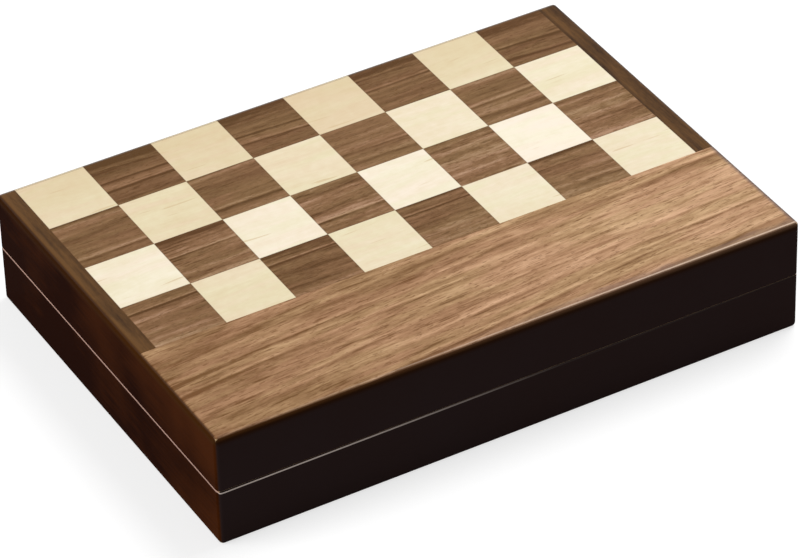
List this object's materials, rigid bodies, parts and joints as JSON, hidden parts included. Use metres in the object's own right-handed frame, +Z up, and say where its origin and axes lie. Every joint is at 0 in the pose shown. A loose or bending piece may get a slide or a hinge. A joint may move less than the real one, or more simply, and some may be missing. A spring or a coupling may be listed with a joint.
{
  "type": "folding chess box",
  "caption": "Folding chess case: two shallow wooden trays hinged along one long side, with half of a veneered playing board outside on each.",
  "frame": {"origin": "middle of the base's underside, level with the surface that the case stands on", "axes": "+Z up through the lid, +X to the right along the long side, +Y to the back, where the hinges are; the wide plain border is at -Y"},
  "size_m": [0.2564, 0.1836, 0.0504],
  "materials": {
    "walnut_veneer": "semi-gloss lacquer",
    "maple_veneer": "semi-gloss lacquer",
    "border_veneer": "semi-gloss lacquer",
    "strip_veneer": "gloss lacquer",
    "stained_wood": "gloss lacquer over dark stain, bare inside",
    "plywood": "bare",
    "felt": "matt nap",
    "hinge_brass": "brushed",
    "magnet_nickel": "nickel plated"
  },
  "bodies": {
    "base": {"base_back_wall": "stained_wood", "base_dark_squares": "walnut_veneer", "base_felt_lining": "felt", "base_front_wall": "stained_wood", "base_hinge_screws": "hinge_brass", "base_left_strip": "strip_veneer", "base_left_wall": "stained_wood", "base_light_squares": "maple_veneer", "base_magnets": "magnet_nickel", "base_panel": "plywood", "base_right_strip": "strip_veneer", "base_right_wall": "stained_wood", "base_wide_border": "border_veneer", "left_hinge_base_leaf": "hinge_brass", "left_hinge_pin": "hinge_brass", "right_hinge_base_leaf": "hinge_brass", "right_hinge_pin": "hinge_brass"},
    "lid": {"left_hinge_lid_leaf": "hinge_brass", "lid_back_wall": "stained_wood", "lid_dark_squares": "walnut_veneer", "lid_felt_lining": "felt", "lid_front_wall": "stained_wood", "lid_hinge_screws": "hinge_brass", "lid_left_strip": "strip_veneer", "lid_left_wall": "stained_wood", "lid_light_squares": "maple_veneer", "lid_magnets": "magnet_nickel", "lid_panel": "plywood", "lid_right_strip": "strip_veneer", "lid_right_wall": "stained_wood", "lid_wide_border": "border_veneer", "right_hinge_lid_leaf": "hinge_brass"}
  },
  "joints": [
    {"name": "lid_hinge", "type": "hinge", "parent": "base", "child": "lid", "pos_m": [0, 0.091, 0.0252], "axis": [-1, 0, 0], "range_deg": [0, 180]}
  ]
}
